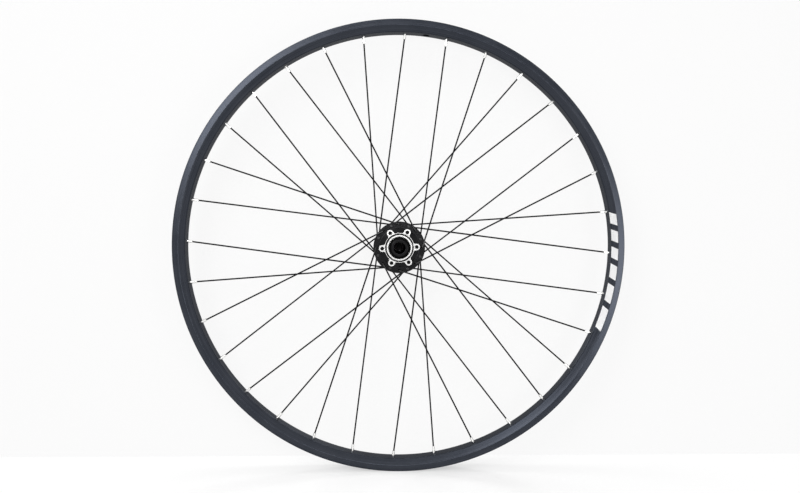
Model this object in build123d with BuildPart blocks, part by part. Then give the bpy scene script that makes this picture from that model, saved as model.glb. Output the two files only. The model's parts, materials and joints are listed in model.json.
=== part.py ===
from build123d import *
from math import cos, radians, sin, sqrt
import os

# Front bicycle wheel for a disc brake, 32 spokes laced three-cross on a hub for a 15 mm axle.
# Millimetres. The origin is the wheel's centre, the axle lies along Y, the disc side faces -Y
# and Z is up. Angles run anticlockwise from +X as seen from the disc side.

# Rim: a double-walled extrusion, rolled and joined into a ring
bead_seat_diameter = 584.0
hook_height = 5.5
rim_depth = 15.6
rim_width = 30.0
spoke_bed_width = 17.0
bead_wall_height = 8.0
hook_wall = 2.0
hook_lip = 0.6
hook_lip_height = 2.0
bead_shelf_width = 3.6
well_depth = 3.2
well_width = 10.0
spoke_bed_wall = 2.2
tyre_bed_wall = 1.4
side_wall = 1.4
spoke_bed_round = 2.6
shoulder_round = 1.3
hook_round = 0.8
hook_lip_round = 0.6
hook_root_round = 0.2
bead_corner_round = 0.5
bead_ridge_round = 0.8
well_round = 1.5
chamber_floor_round = 1.2
chamber_corner_round = 0.4
spoke_hole_stagger = 2.0
access_hole_diameter = 8.5
valve_hole_diameter = 8.5

# Lacing
spoke_count = 32
crossings = 3
first_spoke_angle = 9.6
holes_before_valve = 6.5
weave_gap = 0.3
weave_bend_radius = 60.0

# Spokes: plain wire, bent and headed at the hub
spoke_diameter = 2.0
elbow_radius = 1.9
spoke_head_diameter = 4.0
spoke_head_height = 1.1
spoke_head_round = 0.45
spoke_clearance = 0.3
head_seat_gap = 0.05

# Nipples
nipple_length = 12.0
nipple_diameter = 4.0
nipple_head_diameter = 6.0
nipple_crown_height = 1.2
nipple_crown_round = 0.4
nipple_square = 3.3
nipple_square_length = 5.5
nipple_tip_chamfer = 0.25
nipple_slot_width = 0.9
nipple_slot_depth = 0.7
nipple_hole_clearance = 0.2
nipple_seat_gap = 0.05
spoke_thread_reach = 1.5
spoke_thread_clearance = 0.05

# Hub shell
dropout_spacing = 100.0
disc_flange_offset = 22.0
plain_flange_offset = 33.0
spoke_circle_diameter = 59.0
flange_thickness = 3.2
flange_edge = 4.2
flange_edge_round = 0.7
flange_neck_length = 4.0
flange_neck_round = 1.6
flange_flare_round = 2.5
flange_flare_inset = 3.8
flange_flare_length = 9.0
spoke_hole_clearance = 0.3
barrel_wall = 3.0
barrel_round = 8.0
plain_end_inset = 6.5
seat_wall = 3.0
seat_lead_in = 0.5
shell_edge_round = 0.6

# Brake disc mount on the hub shell
rotor_offset = 10.5
rotor_bolt_count = 6
rotor_bolt_circle = 44.0
rotor_first_bolt_angle = 2.5
rotor_tap_diameter = 4.2
rotor_tap_depth = 10.0
rotor_boss_diameter = 8.4
rotor_boss_length = 11.5
rotor_boss_fillet = 2.4
rotor_register_diameter = 34.0
rotor_register_height = 2.5
register_edge_round = 0.8
rotor_relief_width = 1.2
rotor_relief_depth = 1.0
rotor_relief_undercut = 0.3
rotor_land_width = 0.8

# Axle sleeve and end caps
axle_bore = 15.1
axle_wall = 0.95
axle_shoulder = 1.4
cap_nose_wall = 2.0
cap_web = 4.0
cap_lip_clearance = 0.4
cap_lip_recess = 1.0
cap_lip_thickness = 1.5
cap_slip_clearance = 0.02
cap_edge_round = 0.5
cap_root_round = 1.0
seal_ring_section = 1.0
seal_ring_clearance = 0.02
seal_ring_slot_play = 0.3
seal_ring_inset = 2.0

# Cartridge bearings
bearing_diameter = 28.0
bearing_width = 7.0
bearing_recess = 3.0
bearing_shoulder = 2.0
bearing_seat_clearance = 0.01
race_gap = 2.5
race_edge_round = 0.3
ball_diameter = 3.5
ball_count = 11
raceway_clearance = 0.03
cage_thickness = 1.4
cage_width = 5.0
cage_pocket_clearance = 0.06
shield_thickness = 0.6
shield_inset = 0.2
shield_running_clearance = 0.05

BASE = (Align.CENTER, Align.CENTER, Align.MIN)
os.makedirs("parts", exist_ok=True)

# Rim radii
rim_radius = bead_seat_diameter / 2 + hook_height
seat_radius = bead_seat_diameter / 2
spoke_bed_radius = rim_radius - rim_depth
shoulder_radius = rim_radius - bead_wall_height
well_radius = seat_radius - well_depth

# Spoke and nipple radii
spoke_radius = spoke_diameter / 2
nipple_radius = nipple_diameter / 2
nipple_head_radius = nipple_head_diameter / 2
nipple_cone_height = nipple_head_radius - nipple_radius
nipple_cone_start = spoke_bed_wall - nipple_cone_height
nipple_tip = spoke_bed_wall + nipple_crown_height - nipple_length

# Hub radii, and places along the axle measured outwards from the wheel's centre
spoke_circle_radius = spoke_circle_diameter / 2
flange_radius = spoke_circle_radius + flange_edge
flange_flat_radius = spoke_circle_radius - flange_flare_inset
seat_bore_radius = bearing_diameter / 2
barrel_bore_radius = seat_bore_radius - bearing_shoulder
barrel_radius = barrel_bore_radius + barrel_wall
plain_end_radius = seat_bore_radius + seat_wall
register_radius = rotor_register_diameter / 2
relief_radius = register_radius + rotor_relief_width
rotor_land_radius = relief_radius + rotor_land_width
dropout = dropout_spacing / 2
rotor_face = dropout - rotor_offset
disc_mouth = rotor_face + rotor_register_height
plain_mouth = dropout - plain_end_inset
flange_half = flange_thickness / 2

# Axle and bearing radii
bore_radius = axle_bore / 2
journal_radius = bore_radius + axle_wall
pitch_radius = (journal_radius + seat_bore_radius) / 2
inner_race_radius = pitch_radius - race_gap / 2
outer_race_radius = pitch_radius + race_gap / 2
ball_radius = ball_diameter / 2
cap_nose_radius = journal_radius + cap_nose_wall
axle_end = dropout - cap_web

# One rim hole takes a spoke to the disc side and the next one to the plain side, and each
# side's spokes lead and trail by turns, so the pattern comes back every four holes.
hole_pitch = 360 / spoke_count
row_length = spoke_count // 4
row_pitch = 4 * hole_pitch
hub_turn = 2 * crossings * hole_pitch
valve_angle = first_spoke_angle + holes_before_valve * hole_pitch
DISC, PLAIN = -1, 1
rows = {
    "disc_leading": (DISC, True, first_spoke_angle + hole_pitch),
    "disc_trailing": (DISC, False, first_spoke_angle + 3 * hole_pitch),
    "plain_leading": (PLAIN, True, first_spoke_angle + 2 * hole_pitch),
    "plain_trailing": (PLAIN, False, first_spoke_angle),
}


def polar(radius, angle, y=0.0):
    """A point at a radius and angle round the axle."""
    return Vector(radius * cos(radians(angle)), y, radius * sin(radians(angle)))


def ring_point(route_point, turn):
    """A point of the first spoke of a row, carried round the axle to another spoke."""
    return route_point.rotate(Axis.Y, -turn)


def first_hub_angle(leading, rim_angle):
    """The angle of the hub hole that belongs to a rim hole."""
    return rim_angle - hub_turn if leading else rim_angle + hub_turn


def spoke_route(side, leading, rim_angle):
    """Head, elbow, last crossing, rim hole and threaded end of the first spoke of a row."""
    flange = disc_flange_offset if side == DISC else plain_flange_offset
    outer_face = flange + flange_half
    inner_face = flange - flange_half
    hub_hole = polar(spoke_circle_radius, first_hub_angle(leading, rim_angle))
    rim_hole = polar(spoke_bed_radius, rim_angle)
    run = rim_hole - hub_hole
    heading = run.normalized()

    # The last crossing lies on the radius half way between the two rim holes that cross there
    crossing_angle = rim_angle + (-hole_pitch if leading else hole_pitch)
    across = polar(1, crossing_angle + 90)
    share = -hub_hole.dot(across) / run.dot(across)
    weave = (spoke_diameter + weave_gap) / 2

    # An outside spoke stands off far enough to clear the edge of its flange on the way in
    rise = hub_hole.dot(heading)
    edge_distance = sqrt(rise**2 + flange_radius**2 - spoke_circle_radius**2) - rise
    lean = edge_distance / (share * run.length)
    clear = spoke_radius + spoke_clearance
    trailing_elbow = inner_face - clear
    drop = outer_face * (1 + share) / 2 - trailing_elbow * (1 - share) / 2
    drop += weave - share * spoke_hole_stagger
    leading_elbow = outer_face + (clear + lean * drop) / (1 - lean * (1 + share) / 2)

    middle = (leading_elbow + trailing_elbow) / 2 * (1 - share) + spoke_hole_stagger * share
    if leading:
        head_out = inner_face - head_seat_gap
        head_away = -1
        elbow_out = leading_elbow
        crossing_out = middle - weave
    else:
        head_out = outer_face + head_seat_gap
        head_away = 1
        elbow_out = trailing_elbow
        crossing_out = middle + weave

    head = hub_hole + Vector(0, side * head_out, 0)
    head_axis = Vector(0, side * head_away, 0)
    elbow = hub_hole + Vector(0, side * elbow_out, 0)
    crossing = hub_hole + run * share + Vector(0, side * crossing_out, 0)
    seat = rim_hole + Vector(0, side * spoke_hole_stagger, 0)
    outward = (seat - crossing).normalized()
    return head, head_axis, elbow, crossing, seat, outward


def seat_planes():
    """The plane of every rim hole, at the hub side of the spoke bed and square to its spoke."""
    planes = []
    for side, leading, rim_angle in rows.values():
        _, _, _, _, seat, outward = spoke_route(side, leading, rim_angle)
        for place in range(row_length):
            turn = place * row_pitch
            origin = ring_point(seat, turn)
            z_dir = ring_point(outward, turn)
            planes.append(Plane(origin, x_dir=(0, 1, 0), z_dir=z_dir))
    return planes


def both_sides(half):
    """A section that is the same on both sides of the rim's middle."""
    return half + [(radius, -y) for radius, y in reversed(half)]


def section(points, radii):
    """A closed outline with a radius at each corner, drawn as radius against place on the axle."""
    with BuildLine() as outline:
        FilletPolyline(*points, radius=radii, close=True)
    return outline.line


# Rim
rim_half = rim_width / 2
bed_half = spoke_bed_width / 2
hook_inside = rim_half - hook_wall
shelf_inside = hook_inside - bead_shelf_width
lip_inside = hook_inside - hook_lip
lip_root = rim_radius - hook_lip_height
outer_half = [
    (spoke_bed_radius, bed_half),
    (shoulder_radius, rim_half),
    (rim_radius, rim_half),
    (rim_radius, lip_inside),
    (lip_root, lip_inside),
    (lip_root - hook_lip, hook_inside),
    (seat_radius, hook_inside),
    (seat_radius, shelf_inside),
    (well_radius, well_width / 2),
]
outer_rounds = [spoke_bed_round, shoulder_round, hook_round, hook_lip_round, hook_root_round]
outer_rounds += [hook_root_round, bead_corner_round, bead_ridge_round, well_round]

# The chamber keeps the side wall's thickness along the slanted flank
flank_rise = shoulder_radius - spoke_bed_radius
flank_spread = rim_half - bed_half
flank_length = sqrt(flank_rise**2 + flank_spread**2)
flank_slope = flank_spread / flank_rise
chamber_floor = spoke_bed_radius + spoke_bed_wall
chamber_roof = seat_radius - tyre_bed_wall
flank_shift = side_wall * flank_length / flank_rise
chamber_floor_half = bed_half - flank_shift + (chamber_floor - spoke_bed_radius) * flank_slope
chamber_side = spoke_bed_radius + (hook_inside - bed_half + flank_shift) / flank_slope
chamber_half = [
    (chamber_floor, chamber_floor_half),
    (chamber_side, hook_inside),
    (chamber_roof, hook_inside),
    (chamber_roof, shelf_inside),
    (well_radius - tyre_bed_wall, well_width / 2),
]
chamber_rounds = [chamber_floor_round, chamber_corner_round, chamber_corner_round]
chamber_rounds += [bead_ridge_round, well_round]
hole_planes = seat_planes()
valve_direction = polar(1, valve_angle)
valve_plane = Plane(polar((spoke_bed_radius + rim_radius) / 2, valve_angle), z_dir=valve_direction)

with BuildPart() as rim:
    with BuildSketch(Plane.XY):
        make_face(section(both_sides(outer_half), outer_rounds + outer_rounds[::-1]))
        chamber = section(both_sides(chamber_half), chamber_rounds + chamber_rounds[::-1])
        make_face(chamber, mode=Mode.SUBTRACT)
    revolve(axis=Axis.Y)
    with Locations(*hole_planes):
        Cylinder(nipple_radius + nipple_hole_clearance, 3 * spoke_bed_wall, mode=Mode.SUBTRACT)
    with Locations(*[plane.offset(nipple_cone_start) for plane in hole_planes]):
        Cone(
            nipple_radius + nipple_seat_gap,
            nipple_head_radius + nipple_seat_gap + nipple_cone_height,
            2 * nipple_cone_height,
            align=BASE,
            mode=Mode.SUBTRACT,
        )
    access_middle = (seat_radius + well_radius - tyre_bed_wall) / 2 - spoke_bed_radius
    access_reach = well_depth + 2 * tyre_bed_wall
    with Locations(*[plane.offset(access_middle) for plane in hole_planes]):
        Cylinder(access_hole_diameter / 2, access_reach, mode=Mode.SUBTRACT)
    with Locations(valve_plane):
        Cylinder(valve_hole_diameter / 2, 2 * rim_depth, mode=Mode.SUBTRACT)
rim.part.label = "rim"
export_step(rim.part, "parts/rim.step")


# Spokes
def make_spoke(side, leading, rim_angle):
    """The first spoke of a row, from its head through the elbow and the weave to its thread."""
    head, head_axis, elbow, crossing, seat, outward = spoke_route(side, leading, rim_angle)
    end = seat + outward * spoke_thread_reach
    with BuildPart() as spoke:
        with BuildSketch(Plane(head, z_dir=head_axis)):
            Circle(spoke_head_diameter / 2)
        extrude(amount=spoke_head_height)
        fillet(spoke.faces().sort_by(Axis(head, head_axis))[-1].edges(), spoke_head_round)
        with BuildLine() as route:
            FilletPolyline(head, elbow, crossing, end, radius=[elbow_radius, weave_bend_radius])
        with BuildSketch(Plane(head, z_dir=-head_axis)):
            Circle(spoke_radius)
        sweep(path=route.wires()[0])
    return spoke.part


for row, (side, leading, rim_angle) in rows.items():
    first = make_spoke(side, leading, rim_angle)
    for place in range(row_length):
        spoke = first.rotate(Axis.Y, -place * row_pitch)
        spoke.label = f"spoke_{row}_{place + 1}"
        export_step(spoke, f"parts/{spoke.label}.step")

# Nipples, square at the tip for a spoke key and slotted across the crown
with BuildPart() as nipple:
    with BuildSketch(Plane.XY.offset(nipple_tip)):
        Rectangle(nipple_square, nipple_square)
        Circle(nipple_radius, mode=Mode.INTERSECT)
    extrude(amount=nipple_square_length)
    chamfer(nipple.faces().sort_by(Axis.Z)[0].edges(), nipple_tip_chamfer)
    with BuildSketch(Plane.XY.offset(nipple_tip + nipple_square_length)):
        Circle(nipple_radius)
    extrude(amount=nipple_cone_start - nipple_tip - nipple_square_length)
    with Locations(Plane.XY.offset(nipple_cone_start)):
        Cone(nipple_radius, nipple_head_radius, nipple_cone_height, align=BASE)
    with BuildSketch(Plane.XY.offset(spoke_bed_wall)):
        Circle(nipple_head_radius)
    extrude(amount=nipple_crown_height)
    fillet(nipple.faces().sort_by(Axis.Z)[-1].edges(), nipple_crown_round)
    with BuildSketch(Plane.XY.offset(spoke_bed_wall + nipple_crown_height)):
        Rectangle(nipple_head_diameter, nipple_slot_width)
    extrude(amount=-nipple_slot_depth, mode=Mode.SUBTRACT)
    with BuildSketch(Plane.XY.offset(nipple_tip)):
        Circle(spoke_radius + spoke_thread_clearance)
    extrude(amount=nipple_length, mode=Mode.SUBTRACT)

with BuildPart() as nipples:
    with Locations(*hole_planes):
        add(nipple.part)
nipples.part.label = "spoke_nipples"
export_step(nipples.part, "parts/spoke_nipples.step")

# Hub shell: barrel, two flanges and the brake disc mount, machined from one bar
disc_outer = disc_flange_offset + flange_half
disc_inner = disc_flange_offset - flange_half
plain_outer = plain_flange_offset + flange_half
plain_inner = plain_flange_offset - flange_half
hub_outline = [
    (0, -disc_mouth),
    (register_radius, -disc_mouth),
    (register_radius, -rotor_face),
    (register_radius - rotor_relief_undercut, -rotor_face),
    (register_radius - rotor_relief_undercut, rotor_relief_depth - rotor_face),
    (relief_radius, rotor_relief_depth - rotor_face),
    (relief_radius, -rotor_face),
    (rotor_land_radius, -rotor_face),
    (rotor_land_radius, -disc_outer - flange_neck_length),
    (flange_flat_radius, -disc_outer),
    (flange_radius, -disc_outer),
    (flange_radius, -disc_inner),
    (flange_flat_radius, -disc_inner),
    (barrel_radius, flange_flare_length - disc_inner),
    (barrel_radius, plain_inner - flange_flare_length),
    (flange_flat_radius, plain_inner),
    (flange_radius, plain_inner),
    (flange_radius, plain_outer),
    (flange_flat_radius, plain_outer),
    (plain_end_radius, plain_outer + flange_neck_length),
    (plain_end_radius, plain_mouth),
    (0, plain_mouth),
]
edge, neck, flare, waist = flange_edge_round, flange_neck_round, flange_flare_round, barrel_round
hub_rounds = [0, register_edge_round, 0, 0, 0, 0, 0, 0, neck, neck, edge, edge, flare, waist]
hub_rounds += [waist, flare, edge, edge, neck, neck, shell_edge_round, 0]
bore_outline = [
    (0, -disc_mouth),
    (seat_bore_radius + seat_lead_in, -disc_mouth),
    (seat_bore_radius, seat_lead_in - disc_mouth),
    (seat_bore_radius, bearing_recess + bearing_width - disc_mouth),
    (barrel_bore_radius, bearing_recess + bearing_width - disc_mouth),
    (barrel_bore_radius, plain_mouth - bearing_recess - bearing_width),
    (seat_bore_radius, plain_mouth - bearing_recess - bearing_width),
    (seat_bore_radius, plain_mouth - seat_lead_in),
    (seat_bore_radius + seat_lead_in, plain_mouth),
    (0, plain_mouth),
]
disc_hole_angle = first_hub_angle(*rows["disc_leading"][1:])
plain_hole_angle = first_hub_angle(*rows["plain_leading"][1:])

with BuildPart() as hub_shell:
    with BuildSketch(Plane.XY):
        make_face(section(hub_outline, hub_rounds))
    revolve(axis=Axis.Y)
    with BuildSketch(Plane.XZ.offset(rotor_face)) as mount:
        Circle(rotor_land_radius)
        with PolarLocations(rotor_bolt_circle / 2, rotor_bolt_count, rotor_first_bolt_angle):
            Circle(rotor_boss_diameter / 2)
        with PolarLocations(rotor_bolt_circle / 4, rotor_bolt_count, rotor_first_bolt_angle):
            Rectangle(rotor_bolt_circle / 2, rotor_boss_diameter)
        roots = mount.vertices().group_by(lambda v: round(Vector(v).length, 2))[0]
        fillet(roots, rotor_boss_fillet)
        Circle(relief_radius, mode=Mode.SUBTRACT)
    extrude(amount=-rotor_boss_length)
    with BuildSketch(Plane.XY):
        make_face(section(bore_outline, [0] * len(bore_outline)))
    revolve(axis=Axis.Y, mode=Mode.SUBTRACT)
    with BuildSketch(Plane.XZ.offset(rotor_face)):
        with PolarLocations(rotor_bolt_circle / 2, rotor_bolt_count, rotor_first_bolt_angle):
            Circle(rotor_tap_diameter / 2)
    extrude(amount=-rotor_tap_depth, mode=Mode.SUBTRACT)
    with BuildSketch(Plane.XZ.offset(disc_flange_offset)):
        with PolarLocations(spoke_circle_radius, spoke_count // 2, disc_hole_angle):
            Circle(spoke_radius + spoke_hole_clearance)
    extrude(amount=flange_thickness, both=True, mode=Mode.SUBTRACT)
    with BuildSketch(Plane.XZ.offset(-plain_flange_offset)):
        with PolarLocations(spoke_circle_radius, spoke_count // 2, plain_hole_angle):
            Circle(spoke_radius + spoke_hole_clearance)
    extrude(amount=flange_thickness, both=True, mode=Mode.SUBTRACT)
hub_shell.part.label = "hub_shell"
export_step(hub_shell.part, "parts/hub_shell.step")

# Axle sleeve, shouldered between the two bearings
disc_race_inside = disc_mouth - bearing_recess - bearing_width
plain_race_inside = plain_mouth - bearing_recess - bearing_width
axle_outline = [
    (bore_radius, -axle_end),
    (journal_radius, -axle_end),
    (journal_radius, -disc_race_inside),
    (journal_radius + axle_shoulder, -disc_race_inside),
    (journal_radius + axle_shoulder, plain_race_inside),
    (journal_radius, plain_race_inside),
    (journal_radius, axle_end),
    (bore_radius, axle_end),
]
with BuildPart() as axle_sleeve:
    with BuildSketch(Plane.XY):
        make_face(section(axle_outline, [0] * len(axle_outline)))
    revolve(axis=Axis.Y)
axle_sleeve.part.label = "axle_sleeve"
export_step(axle_sleeve.part, "parts/axle_sleeve.step")


# End caps, each pushed over the axle sleeve and held by a rubber ring
def end_fittings(name, side, mouth):
    """The end cap and its rubber ring on one side of the hub."""
    race_face = mouth - bearing_recess
    lip_face = mouth - cap_lip_recess
    slip_radius = journal_radius + cap_slip_clearance
    ring_place = axle_end - seal_ring_inset
    ring_radius = journal_radius + seal_ring_clearance + seal_ring_section / 2
    slot_radius = ring_radius + seal_ring_section / 2 + seal_ring_clearance
    slot_half = (seal_ring_section + seal_ring_slot_play) / 2
    outline = [
        (bore_radius, dropout),
        (cap_nose_radius, dropout),
        (cap_nose_radius, lip_face),
        (seat_bore_radius - cap_lip_clearance, lip_face),
        (seat_bore_radius - cap_lip_clearance, lip_face - cap_lip_thickness),
        (inner_race_radius - race_edge_round, lip_face - cap_lip_thickness),
        (inner_race_radius - race_edge_round, race_face),
        (slip_radius, race_face),
        (slip_radius, ring_place - slot_half),
        (slot_radius, ring_place - slot_half),
        (slot_radius, ring_place + slot_half),
        (slip_radius, ring_place + slot_half),
        (slip_radius, axle_end),
        (bore_radius, axle_end),
    ]
    rounds = [cap_edge_round, cap_edge_round, cap_root_round, cap_edge_round / 2] + [0] * 10
    with BuildPart() as cap:
        with BuildSketch(Plane.XY):
            make_face(section([(radius, side * out) for radius, out in outline], rounds))
        revolve(axis=Axis.Y)
    cap.part.label = f"end_cap_{name}"
    export_step(cap.part, f"parts/{cap.part.label}.step")
    with BuildPart() as seal_ring:
        with BuildSketch(Plane.XY):
            with Locations((ring_radius, side * ring_place)):
                Circle(seal_ring_section / 2)
        revolve(axis=Axis.Y)
    seal_ring.part.label = f"end_cap_ring_{name}"
    export_step(seal_ring.part, f"parts/{seal_ring.part.label}.step")


# Cartridge bearings: races, balls, cage and a rubber shield on each face
def bearing(name, middle):
    """One bearing, with its middle at a place along the axle."""
    race_spans = {
        "inner_race": (journal_radius + bearing_seat_clearance, inner_race_radius),
        "outer_race": (outer_race_radius, seat_bore_radius - bearing_seat_clearance),
    }
    for race_name, (inside, outside) in race_spans.items():
        with BuildPart() as race:
            with BuildSketch(Plane.XY) as race_section:
                with Locations(((inside + outside) / 2, middle)):
                    Rectangle(outside - inside, bearing_width)
                fillet(race_section.vertices(), race_edge_round)
                with Locations((pitch_radius, middle)):
                    Circle(ball_radius + raceway_clearance, mode=Mode.SUBTRACT)
            revolve(axis=Axis.Y)
        race.part.label = f"bearing_{race_name}_{name}"
        export_step(race.part, f"parts/{race.part.label}.step")

    ball_plane = Plane.XZ.offset(-middle)
    first_ball_angle = 180 / ball_count
    with BuildPart(ball_plane) as balls:
        with PolarLocations(pitch_radius, ball_count, first_ball_angle):
            Sphere(ball_radius)
    balls.part.label = f"bearing_balls_{name}"
    export_step(balls.part, f"parts/{balls.part.label}.step")

    with BuildPart(ball_plane) as cage:
        with BuildSketch(Plane.XY):
            with Locations((pitch_radius, middle)):
                Rectangle(cage_thickness, cage_width)
        revolve(axis=Axis.Y)
        pocket_radius = ball_radius + cage_pocket_clearance
        with PolarLocations(pitch_radius, ball_count, first_ball_angle):
            Cylinder(pocket_radius, 2 * cage_thickness, rotation=(0, 90, 0), mode=Mode.SUBTRACT)
    cage.part.label = f"bearing_cage_{name}"
    export_step(cage.part, f"parts/{cage.part.label}.step")

    shield_inside = inner_race_radius + shield_running_clearance
    shield_outside = outer_race_radius - bearing_seat_clearance
    shield_place = bearing_width / 2 - shield_inset - shield_thickness / 2
    with BuildPart() as shields:
        with BuildSketch(Plane.XY):
            shield_middle = (shield_inside + shield_outside) / 2
            faces = (middle - shield_place, middle + shield_place)
            with Locations(*[(shield_middle, face) for face in faces]):
                Rectangle(shield_outside - shield_inside, shield_thickness)
        revolve(axis=Axis.Y)
    shields.part.label = f"bearing_shields_{name}"
    export_step(shields.part, f"parts/{shields.part.label}.step")


end_fittings("disc_side", DISC, disc_mouth)
end_fittings("plain_side", PLAIN, plain_mouth)
bearing("disc_side", bearing_recess + bearing_width / 2 - disc_mouth)
bearing("plain_side", plain_mouth - bearing_recess - bearing_width / 2)
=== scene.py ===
import json
from math import atan2, ceil, cos, pi, radians, sin, tan

import bmesh
import bpy
from mathutils import Matrix, Vector
from mathutils.bvhtree import BVHTree


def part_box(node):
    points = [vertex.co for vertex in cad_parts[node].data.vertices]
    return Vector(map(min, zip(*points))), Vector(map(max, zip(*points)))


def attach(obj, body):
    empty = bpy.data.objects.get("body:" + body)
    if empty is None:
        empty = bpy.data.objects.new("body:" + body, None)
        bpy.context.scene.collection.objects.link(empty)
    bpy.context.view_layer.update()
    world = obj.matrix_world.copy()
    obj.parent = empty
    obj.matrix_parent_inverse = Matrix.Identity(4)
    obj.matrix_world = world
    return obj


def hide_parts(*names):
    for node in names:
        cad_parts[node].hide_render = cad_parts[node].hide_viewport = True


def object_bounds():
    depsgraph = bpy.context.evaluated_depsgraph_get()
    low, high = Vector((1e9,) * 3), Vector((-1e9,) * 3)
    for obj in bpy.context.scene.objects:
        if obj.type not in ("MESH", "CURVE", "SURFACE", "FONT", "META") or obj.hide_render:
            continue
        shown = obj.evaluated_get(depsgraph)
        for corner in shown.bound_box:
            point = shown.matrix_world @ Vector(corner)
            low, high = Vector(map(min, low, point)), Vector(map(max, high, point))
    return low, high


# A front bicycle wheel for a disc brake, finished around its solids. Metres: the axle lies
# along Y, the disc side faces -Y and Z is up.
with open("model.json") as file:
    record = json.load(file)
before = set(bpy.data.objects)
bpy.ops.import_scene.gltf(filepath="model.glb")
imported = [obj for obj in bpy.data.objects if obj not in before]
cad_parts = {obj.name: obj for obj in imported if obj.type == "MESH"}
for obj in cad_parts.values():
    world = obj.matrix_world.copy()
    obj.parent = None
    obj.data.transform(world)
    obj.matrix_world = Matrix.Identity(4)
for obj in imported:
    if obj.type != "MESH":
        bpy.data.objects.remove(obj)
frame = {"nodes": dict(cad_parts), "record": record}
cad_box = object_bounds()
mounts = {mount["name"]: mount for mount in frame["record"]["mounts"]}

MM = 0.001

# Places read from the solids
RIM_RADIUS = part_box("rim")[1].z
FLOOR_HEIGHT = cad_box[0].z
FAR_END = cad_box[1].y
ROTOR_FACE = mounts["rotor_bolts"]["pos_m"][1]
ROTOR_BOLT_CIRCLE = mounts["rotor_bolts"]["dims"]["pcd_mm"] / 2 * MM
ROTOR_HOLE = mounts["rotor_bolts"]["dims"]["hole_r_mm"] * MM
ROTOR_BOLTS = mounts["rotor_bolts"]["dims"]["count"]
HEAD_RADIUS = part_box("hub_shell")[1].z
REGISTER_RADIUS = mounts["rotor_register"]["dims"]["r_mm"] * MM
BOSS_ANGLE = atan2(mounts["rotor_face"]["pos_m"][2], mounts["rotor_face"]["pos_m"][0])

# Camera, at the photograph's viewpoint
PHOTO_WIDTH = 800
SENSOR = 36.0
FOCAL_PIXELS = 716.0
CAMERA_AZIMUTH = radians(-0.82)
CAMERA_ELEVATION = radians(1.8)
CAMERA_DISTANCE = 0.955
CENTRE_LEFT_OF_MIDDLE = 1.0
CENTRE_BELOW_MIDDLE = 0.3
NEAREST_SEEN = 0.01

# Rim section: depth under the rim's edge, place out from its middle and round of each corner
RIM_SECTION = [
    (15.6, 8.5, 2.6),
    (8.0, 15.0, 1.3),
    (0.0, 15.0, 0.8),
    (0.0, 12.4, 0.6),
    (2.0, 12.4, 0.2),
    (2.6, 13.0, 0.2),
    (5.5, 13.0, 0.5),
    (5.5, 9.4, 0.8),
    (8.7, 5.0, 1.5),
]
CHAMBER_SECTION = [
    (13.4, 8.54, 1.2),
    (8.18, 13.0, 0.4),
    (6.9, 13.0, 0.4),
    (6.9, 9.4, 0.8),
    (10.1, 5.0, 1.5),
]
RIM_DEPTH = RIM_SECTION[0][0] * MM
RIM_STEPS = 384
ROUND_STEP = radians(14)
ACCESS_HOLE = 4.25 * MM
ACCESS_HEIGHT = 7.8 * MM
ACCESS_LENGTH = 6.0 * MM
NIPPLE_HOLE = 2.2 * MM
NIPPLE_HOLE_LENGTH = 6.6 * MM
SHARP = radians(30)

# Nipples, on a Z that points out of the wheel from the hub side of the spoke bed
SPOKE_END_HEIGHT = 1.5 * MM
SPOKE_RING = 2.5 * MM
NIPPLE_TIP = -8.6 * MM
NIPPLE_SQUARE_LENGTH = 5.5 * MM
NIPPLE_SQUARE = 3.3 * MM
NIPPLE_RADIUS = 2.0 * MM
NIPPLE_HEAD_RADIUS = 3.0 * MM
NIPPLE_CONE = (1.2 * MM, 2.2 * MM)
NIPPLE_CROWN = 3.4 * MM
NIPPLE_CROWN_ROUND = 0.4 * MM
NIPPLE_BORE = 1.05 * MM
NIPPLE_SLOT_FLOOR = 2.7 * MM
NIPPLE_SLOT = 0.9 * MM
NIPPLE_EDGE = 0.1 * MM
NIPPLE_STEPS = 32

# Rim graphic: slanted white bars down the flank on the disc side, with their lengths in degrees
FLANK_INNER_RADIUS = RIM_RADIUS - 15.4 * MM
FLANK_OUTER_RADIUS = RIM_RADIUS - 8.4 * MM
GRAPHIC_START = radians(9.0)
GRAPHIC_BARS = [3.0, 3.0, 3.0, 3.7, 4.7, 6.0]
GRAPHIC_GAP = radians(1.6)
GRAPHIC_SLANT = radians(-0.75)
GRAPHIC_STEP = radians(0.4)
GRAPHIC_ROWS = 24
FILM_THICKNESS = 0.05 * MM

# Finishes
ANODISED_EDGE = (0.5, 0.5, 0.5, 1.0)
BORE_EDGE = (0.1, 0.1, 0.1, 1.0)
# How far past the flange's edge the painted highlight on the spoke heads fades out
SPOKE_HEAD_HIGHLIGHT_REACH = 2 * MM
WIRE_LINE = 0.3 * MM
WIRE_LINES_PER_RADIAN = 900
DISC_FACE_SKIN = 0.05 * MM
DISC_FACE_FLATNESS = (0.75, 0.85)
GROOVE_INSIDE = 0.8 * MM
GROOVE_OUTSIDE = 1.4 * MM
HOLE_WALL = 0.1 * MM
HOLE_EDGE = 0.35 * MM
THREAD_PITCH = 0.8 * MM
THREAD_DEPTH = 10 * MM
CAP_NOSE_RADIUS = 10.5 * MM
# How far past the cap's nose the painted shade on its lip starts, and where it becomes full
CAP_LIP_SHADE_START = 0.2 * MM
CAP_LIP_SHADE_END = 1.0 * MM

# Studio
BACKDROP_GAP = 0.3 * MM
STAGE_REACH = 4.0
AMBIENT = 0.5
WHITE = (1.0, 1.0, 1.0, 1.0)
PAPER = (0.9, 0.9, 0.9, 1.0)
FAR_SHADING = 0.14
# Where each paper's own shading starts to fade and has faded, out from its middle, and its strength
FLOOR_SHADING = (0.02, 0.3, 0.5)
BACKDROP_SHADING = (0.0078, 0.0095, 1.0)
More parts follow.
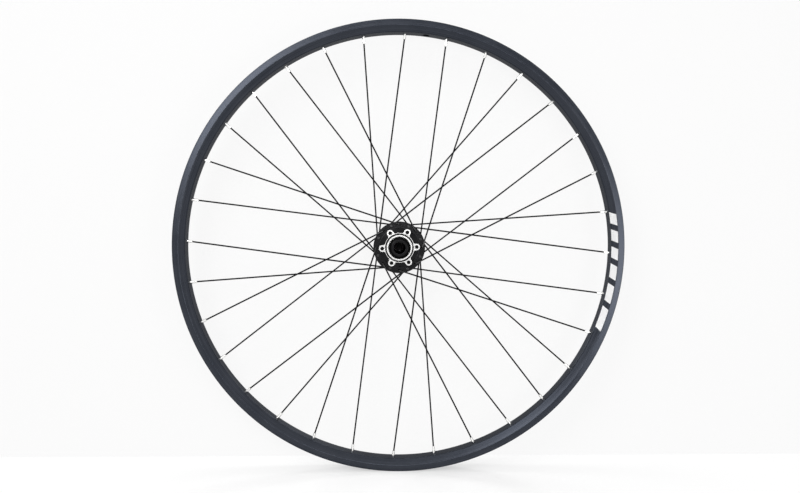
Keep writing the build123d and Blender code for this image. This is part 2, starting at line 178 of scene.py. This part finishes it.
# Lamps: place, side and power
LAMPS = {
    "key_lamp": ((-1.1, -1.7, 1.6), 1.2, 14),
    "left_lamp": ((-0.5, -1.1, 0.42), 0.45, 3),
    "right_lamp": ((0.62, -1.1, -0.1), 0.35, 2),
    "front_lamp": ((0.05, -1.05, 0.22), 0.2, 1),
    "top_lamp": ((-0.2, 0.15, 1.5), 0.4, 9),
    "back_lamp": ((0.9, 1.9, 1.4), 0.5, 18),
    "back_left_lamp": ((-1.3, 1.6, 0.5), 0.4, 13),
}


class Wire:
    """A node's output. Arithmetic on it adds Math nodes to its material."""

    def __init__(self, finish, socket):
        self.finish = finish
        self.socket = socket

    def math(self, operation, *others):
        """A Math node on this value and any others."""
        values = dict(enumerate((self, *others)))
        return self.finish.node("ShaderNodeMath", {"operation": operation}, values)

    def output(self, name):
        """Another output of the same node."""
        return Wire(self.finish, self.socket.node.outputs[name])

    def __add__(self, other):
        return self.math("ADD", other)

    def __sub__(self, other):
        return self.math("SUBTRACT", other)

    def __rsub__(self, other):
        return -self + other

    def __mul__(self, other):
        return self.math("MULTIPLY", other)

    def __truediv__(self, other):
        return self.math("DIVIDE", other)

    def __lt__(self, other):
        return self.math("LESS_THAN", other)

    def __gt__(self, other):
        return self.math("GREATER_THAN", other)

    def __neg__(self):
        return self.math("MULTIPLY", -1.0)

    __radd__ = __add__
    __rmul__ = __mul__


class Finish:
    """A material's node tree, with one method that adds its nodes."""

    def __init__(self, owner):
        owner.use_nodes = True
        self.owner = owner
        self.tree = owner.node_tree

    def node(self, kind, settings, sockets, output=0):
        """A new node: its settings first, then its sockets. Gives one of its outputs."""
        made = self.tree.nodes.new(kind)
        for name, value in settings.items():
            setattr(made, name, value)
        self.plug(made, sockets)
        return Wire(self, made.outputs[output])

    def plug(self, made, sockets):
        """Sets a node's sockets to numbers, colours or the outputs of other nodes."""
        for name, value in sockets.items():
            if isinstance(value, Wire):
                self.tree.links.new(value.socket, made.inputs[name])
            else:
                made.inputs[name].default_value = value

    def mix(self, factor, first, second):
        """A colour between two colours."""
        return self.node("ShaderNodeMix", {"data_type": "RGBA"}, {0: factor, 6: first, 7: second}, 2)

    def grade(self, value, low, high, to_low=0.0, to_high=1.0):
        """A value carried from one range to another, and held at its ends."""
        sockets = {"Value": value, 1: low, 2: high, 3: to_low, 4: to_high}
        return self.node("ShaderNodeMapRange", {}, sockets)

    def noise(self, vector, scale, detail=2.0, w=0.0):
        """Soft noise, from 0 to 1, over four dimensions."""
        sockets = {"Vector": vector, "W": w, "Scale": scale, "Detail": detail}
        return self.node("ShaderNodeTexNoise", {"noise_dimensions": "4D"}, sockets)

    def bump(self, height, distance, strength=1.0, below=None):
        """A normal that follows a height."""
        sockets = {"Height": height, "Distance": distance, "Strength": strength}
        if below:
            sockets["Normal"] = below
        return self.node("ShaderNodeBump", {}, sockets)


class Metal(Finish):
    """A finish on the wheel, which knows where each point lies round the axle."""

    def __init__(self, name):
        super().__init__(bpy.data.materials.new(name))
        self.shader = self.tree.nodes["Principled BSDF"]
        self.place = self.node("ShaderNodeTexCoord", {}, {}, "Object")
        self.facing = self.node("ShaderNodeTexCoord", {}, {}, "Normal")
        x, self.y, z = self.split(self.place)
        self.radius = (x * x + z * z).math("SQRT")
        self.cosine = x / self.radius
        self.sine = z / self.radius
        self.angle = z.math("ARCTAN2", x)

    def split(self, vector):
        """The three parts of a vector."""
        parts = self.node("ShaderNodeSeparateXYZ", {}, {0: vector})
        return [parts.output(axis) for axis in "XYZ"]

    def streaks(self, width, length, detail=2.0):
        """Fine marks that run round the axle, as rolling or turning leaves them."""
        across = {"X": self.radius / width, "Y": self.y / width, "Z": self.cosine * (RIM_RADIUS / length)}
        vector = self.node("ShaderNodeCombineXYZ", {}, across)
        return self.noise(vector, 1.0, detail, self.sine * (RIM_RADIUS / length))

    def blotches(self, size, detail=3.0):
        """Soft uneven patches."""
        return self.noise(self.place, 1 / size, detail)

    def anodise(self, edge=ANODISED_EDGE, **sockets):
        """A dark metal skin, which dulls what it mirrors at a low angle."""
        return self.shade(Metallic=1.0, Specular_Tint=edge, **sockets)

    def shade(self, **sockets):
        """Sets the shader's sockets, named with underscores for spaces, and gives the material."""
        self.plug(self.shader, {name.replace("_", " "): value for name, value in sockets.items()})
        return self.owner


def rim_finish():
    """Black anodising over an extruded section, with the marks of the die along it."""
    metal = Metal("rim_black")
    die_marks = metal.streaks(0.3 * MM, 160 * MM, 3.0)
    die_bands = metal.streaks(2.4 * MM, 300 * MM, 1.0)
    patches = metal.blotches(35 * MM)
    tone = metal.grade(die_marks + die_bands * 0.7 + patches * 0.5, 0.75, 1.45)
    colour = metal.mix(tone, (0.026, 0.030, 0.039, 1), (0.054, 0.059, 0.072, 1))
    rough = metal.grade(die_marks + patches * 0.6, 0.5, 1.1, 0.20, 0.36)
    normal = metal.bump(die_marks, 0.016 * MM)
    return metal.anodise(Base_Color=colour, Roughness=rough, Normal=normal)


def hub_finish():
    """Black anodising, turned bare on the brake disc's face and register and threaded in its holes."""
    metal = Metal("hub_black")
    turning = metal.streaks(0.16 * MM, 400 * MM, 1.0)
    patches = metal.blotches(9 * MM)
    _, outward, _ = metal.split(metal.facing)
    proud = metal.y < ROTOR_FACE + DISC_FACE_SKIN
    flat = metal.grade(-outward, *DISC_FACE_FLATNESS)
    past_inside = metal.radius > REGISTER_RADIUS - GROOVE_INSIDE
    groove = past_inside * (metal.radius < REGISTER_RADIUS + GROOVE_OUTSIDE)

    sector = 2 * pi / ROTOR_BOLTS
    turn = metal.angle - (BOSS_ANGLE - sector / 2)
    turn = turn.math("FLOORED_MODULO", sector) - sector / 2
    out = metal.radius * turn.math("COSINE") - ROTOR_BOLT_CIRCLE
    along = metal.radius * turn.math("SINE")
    off_hole = (out * out + along * along).math("SQRT")
    in_hole = (off_hole < ROTOR_HOLE + HOLE_WALL) * (metal.y < ROTOR_FACE + THREAD_DEPTH)
    phase = along.math("ARCTAN2", out) / (2 * pi) + metal.y / THREAD_PITCH
    thread = phase.math("PINGPONG", 0.5) * in_hole
    bare = proud * flat * (1 - groove) * (off_hole > ROTOR_HOLE + HOLE_EDGE)

    black = metal.mix(patches, (0.012, 0.012, 0.013, 1), (0.021, 0.021, 0.022, 1))
    silver = metal.mix(turning, (0.66, 0.66, 0.65, 1), (0.84, 0.84, 0.83, 1))
    colour = metal.mix(bare, black, silver)
    rough = metal.grade(turning, 0.3, 0.7, 0.17, 0.28)
    normal = metal.bump(turning, 0.012 * MM)
    normal = metal.bump(thread, THREAD_PITCH, 1.0, normal)
    return metal.anodise(Base_Color=colour, Roughness=rough, Normal=normal)


def cap_finish():
    """Turned, polished and anodised black, with painted shade darkening the lip in the disc side's
    recess.
    """
    metal = Metal("cap_black")
    turning = metal.streaks(0.12 * MM, 400 * MM, 1.0)
    patches = metal.blotches(6 * MM)
    colour = metal.mix(patches, (0.014, 0.014, 0.015, 1), (0.022, 0.022, 0.023, 1))
    # Painted shade: on the disc side the lip past the nose is darkened to near black, where shade falls
    # in its recess
    lip_painted_shade = metal.grade(metal.radius, CAP_NOSE_RADIUS + CAP_LIP_SHADE_START, CAP_NOSE_RADIUS + CAP_LIP_SHADE_END)
    disc_side = metal.y < 0.0
    colour = metal.mix(lip_painted_shade * disc_side, colour, (0.004, 0.004, 0.004, 1))
    rough = metal.grade(turning + patches * 0.5, 0.4, 1.0, 0.09, 0.17)
    normal = metal.bump(turning, 0.006 * MM)
    return metal.anodise(Base_Color=colour, Roughness=rough, Normal=normal)


def axle_finish():
    """A drawn tube, turned at its ends and anodised black."""
    metal = Metal("axle_black")
    turning = metal.streaks(0.2 * MM, 400 * MM, 1.0)
    patches = metal.blotches(8 * MM)
    colour = metal.mix(patches, (0.005, 0.005, 0.005, 1), (0.009, 0.009, 0.009, 1))
    rough = metal.grade(turning, 0.3, 0.7, 0.3, 0.42)
    normal = metal.bump(turning, 0.01 * MM)
    return metal.anodise(BORE_EDGE, Base_Color=colour, Roughness=rough, Normal=normal)


def spoke_finish():
    """Drawn wire with a black oxide skin, and a painted highlight lightening the heads at the flange."""
    metal = Metal("spoke_black")
    drawing = {
        "X": metal.cosine * WIRE_LINES_PER_RADIAN,
        "Y": metal.y / WIRE_LINE,
        "Z": metal.sine * WIRE_LINES_PER_RADIAN,
    }
    lines = metal.noise(metal.node("ShaderNodeCombineXYZ", {}, drawing), 1.0, 2.0)
    patches = metal.blotches(5 * MM)
    colour = metal.mix(patches, (0.007, 0.007, 0.008, 1), (0.014, 0.014, 0.015, 1))
    # Painted highlight: within the flange's radius the heads are lightened, standing in for the glints on
    # them
    painted_head_highlight = metal.grade(metal.radius, HEAD_RADIUS, HEAD_RADIUS + SPOKE_HEAD_HIGHLIGHT_REACH, 1.0, 0.0)
    colour = metal.mix(painted_head_highlight, colour, (0.045, 0.045, 0.046, 1))
    rough = metal.grade(lines + patches * 0.5, 0.4, 1.0, 0.16, 0.28)
    normal = metal.bump(lines, 0.008 * MM)
    return metal.anodise(Base_Color=colour, Roughness=rough, Normal=normal)


def nipple_finish():
    """Brass, turned and nickel plated."""
    metal = Metal("nipple_silver")
    marks = metal.noise(metal.place, 1 / (0.25 * MM), 2.0)
    patches = metal.blotches(4 * MM)
    colour = metal.mix(patches, (0.84, 0.83, 0.81, 1), (0.94, 0.94, 0.93, 1))
    rough = metal.grade(marks + patches, 0.6, 1.4, 0.18, 0.32)
    normal = metal.bump(marks, 0.006 * MM)
    return metal.shade(Base_Color=colour, Roughness=rough, Metallic=1.0, Normal=normal)


def film_finish():
    """White printed film under a clear coat."""
    film = Metal("rim_graphic")
    grain = film.noise(film.place, 1 / (0.4 * MM), 3.0)
    patches = film.blotches(20 * MM)
    colour = film.mix(patches, (0.88, 0.88, 0.89, 1), (0.93, 0.93, 0.93, 1))
    rough = film.grade(grain, 0.3, 0.7, 0.26, 0.38)
    return film.shade(Base_Color=colour, Roughness=rough, Normal=film.bump(grain, 0.006 * MM))


def steel_finish():
    """Ground bearing steel."""
    metal = Metal("bearing_steel")
    grinding = metal.streaks(0.08 * MM, 300 * MM, 1.0)
    colour = metal.mix(grinding, (0.56, 0.57, 0.58, 1), (0.68, 0.69, 0.70, 1))
    rough = metal.grade(grinding, 0.3, 0.7, 0.14, 0.24)
    normal = metal.bump(grinding, 0.004 * MM)
    return metal.shade(Base_Color=colour, Roughness=rough, Metallic=1.0, Normal=normal)


def rubber_finish():
    """Moulded black rubber."""
    metal = Metal("seal_rubber")
    grain = metal.noise(metal.place, 1 / (0.2 * MM), 3.0)
    colour = metal.mix(grain, (0.010, 0.010, 0.010, 1), (0.022, 0.022, 0.022, 1))
    rough = metal.grade(grain, 0.3, 0.7, 0.62, 0.80)
    return metal.shade(Base_Color=colour, Roughness=rough, Normal=metal.bump(grain, 0.02 * MM))


def cage_finish():
    """Moulded nylon in its natural colour."""
    metal = Metal("cage_nylon")
    grain = metal.blotches(0.8 * MM)
    colour = metal.mix(grain, (0.66, 0.60, 0.48, 1), (0.76, 0.71, 0.60, 1))
    rough = metal.grade(grain, 0.3, 0.7, 0.42, 0.56)
    return metal.shade(Base_Color=colour, Roughness=rough, Subsurface_Weight=0.1)


def make_finishes():
    """Every finish, by its material slot."""
    return {
        "rim_black": rim_finish(),
        "hub_black": hub_finish(),
        "cap_black": cap_finish(),
        "axle_black": axle_finish(),
        "spoke_black": spoke_finish(),
        "nipple_silver": nipple_finish(),
        "bearing_steel": steel_finish(),
        "seal_rubber": rubber_finish(),
        "cage_nylon": cage_finish(),
        "rim_graphic": film_finish(),
    }


def dress_solids():
    """Gives each solid the finish of its material slot."""
    for subpart in frame["record"]["subparts"]:
        solid = frame["nodes"][subpart["node"]]
        solid.data.materials.clear()
        solid.data.materials.append(finishes[subpart["material_slot"]])


def new_object(name, mesh):
    """A finished bmesh as an object at the origin."""
    data = bpy.data.meshes.new(name)
    mesh.to_mesh(data)
    mesh.free()
    made = bpy.data.objects.new(name, data)
    bpy.context.scene.collection.objects.link(made)
    return made


def wheel_piece(piece, slot):
    """Smooth faces between sharp edges, the finish of a slot, and a ride on the wheel."""
    piece.data.shade_smooth()
    piece.data.set_sharp_from_angle(angle=SHARP)
    flats = piece.modifiers.new("flat_faces", "WEIGHTED_NORMAL")
    flats.keep_sharp = True
    piece.data.materials.append(finishes[slot])
    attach(piece, "wheel")


def spun_loop(mesh, corners, axis, steps):
    """A closed outline of points with a round at each, spun a full turn round an axis."""
    points = [Vector(point) for point, _ in corners]
    loop = [mesh.verts.new(point) for point in points]
    for pair in zip(loop, loop[1:] + loop[:1]):
        mesh.edges.new(pair)
    for number, (_, bend) in enumerate(corners):
        if bend:
            arriving = points[number] - points[number - 1]
            leaving = points[(number + 1) % len(points)] - points[number]
            turn = arriving.angle(leaving)
            bmesh.ops.bevel(
                mesh,
                geom=[loop[number]],
                offset=bend * tan(turn / 2),
                segments=max(2, ceil(turn / ROUND_STEP)),
                profile=0.5,
                affect="VERTICES",
                material=-1,
            )
    outline = mesh.verts[:] + mesh.edges[:]
    bmesh.ops.spin(mesh, geom=outline, axis=axis, angle=2 * pi, steps=steps, use_merge=True)
    bmesh.ops.recalc_face_normals(mesh, faces=mesh.faces)
    return mesh


def rim_ring(section):
    """A ring round the axle, the same on both sides of the rim's middle."""
    half = [((RIM_RADIUS - depth * MM, out * MM, 0), bend * MM) for depth, out, bend in section]
    other = [((radius, -out, 0), bend) for (radius, out, _), bend in reversed(half)]
    return spun_loop(bmesh.new(), half + other, (0, 1, 0), RIM_STEPS)


def spoke_places():
    """A matrix at each spoke's hole in the rim, with Z along the spoke, read from the spokes' ends."""
    places = []
    for name, solid in frame["nodes"].items():
        if name.startswith("spoke_") and name != "spoke_nipples":
            points = [vert.co for vert in solid.data.vertices]
            end_ring = outermost(points)
            start_ring = outermost([point for point in points if point not in end_ring])
            end = middle(end_ring)
            z_axis = (end - middle(start_ring)).normalized()
            y_axis = z_axis.cross((0, 1, 0)).normalized()
            turn = Matrix((y_axis.cross(z_axis), y_axis, z_axis)).transposed().to_4x4()
            places.append(Matrix.Translation(end - z_axis * SPOKE_END_HEIGHT) @ turn)
    return places


def outermost(points):
    """The ring of points farthest from the axle."""
    reach = max(point.xz.length for point in points)
    return [point for point in points if point.xz.length > reach - SPOKE_RING]


def middle(points):
    """The middle of the box round some points."""
    sides = [(min(values) + max(values)) / 2 for values in zip(*points)]
    return Vector(sides)


def rod(mesh, place, radius, length):
    """A closed cylinder, centred on a place and lying along its Z."""
    bmesh.ops.create_cone(
        mesh,
        cap_ends=True,
        segments=NIPPLE_STEPS,
        radius1=radius,
        radius2=radius,
        depth=length,
        matrix=place,
    )


def make_rim():
    """The hollow rim, drilled for its nipples and its valve."""
    outer = rim_ring(RIM_SECTION)
    chamber = rim_ring(CHAMBER_SECTION)
    bmesh.ops.reverse_faces(chamber, faces=chamber.faces)
    inside = new_object("chamber", chamber)
    outer.from_mesh(inside.data)
    bpy.data.objects.remove(inside)

    drills = bmesh.new()
    for place in spoke_places():
        rod(drills, place, NIPPLE_HOLE, NIPPLE_HOLE_LENGTH)
        rod(drills, place @ Matrix.Translation((0, 0, ACCESS_HEIGHT)), ACCESS_HOLE, ACCESS_LENGTH)
    valve = mounts["valve_hole"]
    along_valve = Vector(valve["axis"]).to_track_quat("Z", "Y").to_matrix().to_4x4()
    valve_place = Matrix.Translation(valve["pos_m"]) @ along_valve
    rod(drills, valve_place, valve["dims"]["r_mm"] * MM, 2 * RIM_DEPTH)

    blank = new_object("blank", outer)
    drilling = new_object("drilling", drills)
    cut = blank.modifiers.new("holes", "BOOLEAN")
    cut.object = drilling
    cut.solver = "EXACT"
    drilled = blank.evaluated_get(bpy.context.evaluated_depsgraph_get())
    drilled_mesh = bmesh.new()
    drilled_mesh.from_mesh(drilled.to_mesh())
    bpy.data.objects.remove(blank)
    bpy.data.objects.remove(drilling)
    rim = new_object("rim_piece", drilled_mesh)
    wheel_piece(rim, "rim_black")
    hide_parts("rim")


def nipple_mesh():
    """One nipple: a square tip, a round collar, a cone and a slotted crown."""
    tip = bmesh.new()
    middle_height = NIPPLE_TIP + NIPPLE_SQUARE_LENGTH / 2
    rod(tip, Matrix.Translation((0, 0, middle_height)), NIPPLE_RADIUS, NIPPLE_SQUARE_LENGTH)
    for flat in ((1, 0, 0), (-1, 0, 0), (0, 1, 0), (0, -1, 0)):
        keep_side(tip, flat, NIPPLE_SQUARE / 2)
    edges = [edge for edge in tip.edges if edge.calc_face_angle(0) > SHARP]
    bmesh.ops.bevel(
        tip, geom=edges, offset=NIPPLE_EDGE, segments=2, profile=0.5, affect="EDGES", material=-1
    )

    collar_start = NIPPLE_TIP + NIPPLE_SQUARE_LENGTH - NIPPLE_EDGE
    cone_start, cone_end = NIPPLE_CONE
    collar = [
        ((NIPPLE_BORE, 0, collar_start), 0),
        ((NIPPLE_RADIUS, 0, collar_start), 2 * NIPPLE_EDGE),
        ((NIPPLE_RADIUS, 0, cone_start), NIPPLE_EDGE),
        ((NIPPLE_HEAD_RADIUS, 0, cone_end), NIPPLE_EDGE),
        ((NIPPLE_HEAD_RADIUS, 0, NIPPLE_SLOT_FLOOR), 0),
        ((NIPPLE_BORE, 0, NIPPLE_SLOT_FLOOR), 0),
    ]
    crown = [
        ((NIPPLE_BORE, 0, NIPPLE_SLOT_FLOOR), 0),
        ((NIPPLE_HEAD_RADIUS, 0, NIPPLE_SLOT_FLOOR), 0),
        ((NIPPLE_HEAD_RADIUS, 0, NIPPLE_CROWN), NIPPLE_CROWN_ROUND),
        ((NIPPLE_BORE, 0, NIPPLE_CROWN), NIPPLE_EDGE),
    ]
    whole = spun_loop(bmesh.new(), collar, (0, 0, 1), NIPPLE_STEPS)
    parts = [tip]
    for side in (-1, 1):
        half = spun_loop(bmesh.new(), crown, (0, 0, 1), NIPPLE_STEPS)
        keep_side(half, (0, side, 0), -NIPPLE_SLOT / 2)
        parts.append(half)
    for part in parts:
        data = bpy.data.meshes.new("nipple_part")
        part.to_mesh(data)
        part.free()
        whole.from_mesh(data)
        bpy.data.meshes.remove(data)
    return whole


def keep_side(mesh, normal, distance):
    """Cuts away what lies beyond a plane and closes the cut."""
    normal = Vector(normal)
    cut = bmesh.ops.bisect_plane(
        mesh,
        geom=mesh.verts[:] + mesh.edges[:] + mesh.faces[:],
        plane_co=normal * distance,
        plane_no=normal,
        clear_outer=True,
    )
    edges = [item for item in cut["geom_cut"] if isinstance(item, bmesh.types.BMEdge)]
    bmesh.ops.holes_fill(mesh, edges=edges)


def make_nipples():
    """A nipple on the end of every spoke."""
    one = bpy.data.meshes.new("nipple")
    nipple_mesh().to_mesh(one)
    nipples = bmesh.new()
    for place in spoke_places():
        count = len(nipples.verts)
        nipples.from_mesh(one)
        bmesh.ops.transform(nipples, matrix=place, verts=nipples.verts[:][count:])
    bpy.data.meshes.remove(one)
    piece = new_object("nipple_pieces", nipples)
    wheel_piece(piece, "nipple_silver")
    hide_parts("spoke_nipples")


def make_graphic():
    """White film bars on the rim's flank."""
    flank = BVHTree.FromBMesh(rim_ring(RIM_SECTION))
    film = bmesh.new()
    start = GRAPHIC_START
    for width in GRAPHIC_BARS:
        edge = []
        for row in range(GRAPHIC_ROWS):
            share = row / (GRAPHIC_ROWS - 1)
            radius = FLANK_INNER_RADIUS + (FLANK_OUTER_RADIUS - FLANK_INNER_RADIUS) * share
            angle = start + GRAPHIC_SLANT * (share - 0.5)
            edge.append(film.verts.new((radius * cos(angle), 0, radius * sin(angle))))
        line = [film.edges.new(pair) for pair in zip(edge, edge[1:])]
        turn = radians(width)
        steps = round(turn / GRAPHIC_STEP)
        bmesh.ops.spin(film, geom=edge + line, axis=(0, 1, 0), angle=turn, steps=steps)
        start -= turn + GRAPHIC_GAP
    for vert in film.verts:
        place, normal, _, _ = flank.ray_cast(vert.co + Vector((0, -1, 0)), (0, 1, 0))
        vert.co = place + normal * FILM_THICKNESS
    bmesh.ops.recalc_face_normals(film, faces=film.faces)
    if film.faces[0].normal.y > 0:
        bmesh.ops.reverse_faces(film, faces=film.faces)
    piece = new_object("rim_graphic", film)
    skin = piece.modifiers.new("thickness", "SOLIDIFY")
    skin.thickness = FILM_THICKNESS
    wheel_piece(piece, "rim_graphic")


def white_rays(finish):
    """1 for a ray that shows the studio as plain white, 0 for one that carries its light."""
    rays = finish.node("ShaderNodeLightPath", {}, {}, "Is Camera Ray")
    return rays + rays.output("Is Glossy Ray") + rays.output("Is Transmission Ray")


def paper(name, centre, near, far, shading):
    """One-sided white studio paper, which shows its own shading close to a point and little far off."""
    sheet = Finish(bpy.data.materials.new(name))
    place = sheet.node("ShaderNodeTexCoord", {}, {}, "Object")
    reach = sheet.node("ShaderNodeVectorMath", {"operation": "DISTANCE"}, {0: place, 1: centre}, "Value")
    shown = sheet.grade(reach, near, far, shading, FAR_SHADING)
    glow = sheet.node("ShaderNodeEmission", {}, {"Color": WHITE, "Strength": 1.0})
    lit = sheet.node("ShaderNodeBsdfDiffuse", {}, {"Color": PAPER})
    face = sheet.node("ShaderNodeMixShader", {}, {0: shown, 1: glow, 2: lit})
    clear = sheet.node("ShaderNodeBsdfTransparent", {}, {})
    front = (1 - sheet.node("ShaderNodeNewGeometry", {}, {}, "Backfacing")) * white_rays(sheet)
    surface = sheet.node("ShaderNodeMixShader", {}, {0: front, 1: clear, 2: face})
    sheet.plug(sheet.tree.nodes["Material Output"], {"Surface": surface})
    sheet.tree.nodes.remove(sheet.tree.nodes["Principled BSDF"])
    return sheet.owner


def stage_plane(name, normal, point, material):
    """A large flat sheet through a point, facing along its normal."""
    mesh = bmesh.new()
    turn = Vector(normal).to_track_quat("Z", "Y").to_matrix().to_4x4()
    bmesh.ops.create_grid(mesh, size=STAGE_REACH, matrix=Matrix.Translation(point) @ turn)
    sheet = new_object(name, mesh)
    sheet.data.materials.append(material)


def soft_box(name, place, size, power):
    """A square lamp that looks at the wheel's centre."""
    lamp = bpy.data.lights.new(name, "AREA")
    lamp.size = size
    lamp.energy = power
    holder = bpy.data.objects.new(name, lamp)
    holder.location = place
    holder.rotation_euler = Vector(place).to_track_quat("Z", "Y").to_euler()
    bpy.context.scene.collection.objects.link(holder)


def studio():
    """Floor, backdrop, world and lamps."""
    foot = (0, 0, FLOOR_HEIGHT)
    stage_plane("floor", (0, 0, 1), foot, paper("floor_paper", foot, *FLOOR_SHADING))
    wall = (0, FAR_END + BACKDROP_GAP, 0)
    backdrop_paper = paper("backdrop_paper", wall, *BACKDROP_SHADING)
    stage_plane("backdrop", (0, -1, 0), (0, wall[1], FLOOR_HEIGHT + STAGE_REACH), backdrop_paper)

    sky = Finish(bpy.data.worlds.new("studio"))
    bpy.context.scene.world = sky.owner
    strength = sky.grade(white_rays(sky), 0.0, 1.0, AMBIENT, 1.0)
    sky.plug(sky.tree.nodes["Background"], {"Color": WHITE, "Strength": strength})

    for name, (place, size, power) in LAMPS.items():
        soft_box(name, place, size, power)


def camera():
    """The camera, at the photograph's viewpoint."""
    lens = bpy.data.cameras.new("camera")
    lens.sensor_width = SENSOR
    lens.lens = FOCAL_PIXELS * SENSOR / PHOTO_WIDTH
    lens.shift_x = CENTRE_LEFT_OF_MIDDLE / PHOTO_WIDTH
    lens.shift_y = CENTRE_BELOW_MIDDLE / PHOTO_WIDTH
    lens.clip_start = NEAREST_SEEN
    eye = bpy.data.objects.new("camera", lens)
    level = CAMERA_DISTANCE * cos(CAMERA_ELEVATION)
    height = CAMERA_DISTANCE * sin(CAMERA_ELEVATION)
    eye.location = (level * sin(CAMERA_AZIMUTH), -level * cos(CAMERA_AZIMUTH), height)
    eye.rotation_euler = eye.location.to_track_quat("Z", "Y").to_euler()
    bpy.context.scene.collection.objects.link(eye)
    bpy.context.scene.camera = eye


bpy.context.scene.view_settings.view_transform = "Standard"
camera()
finishes = make_finishes()
dress_solids()
make_rim()
make_nipples()
make_graphic()
studio()
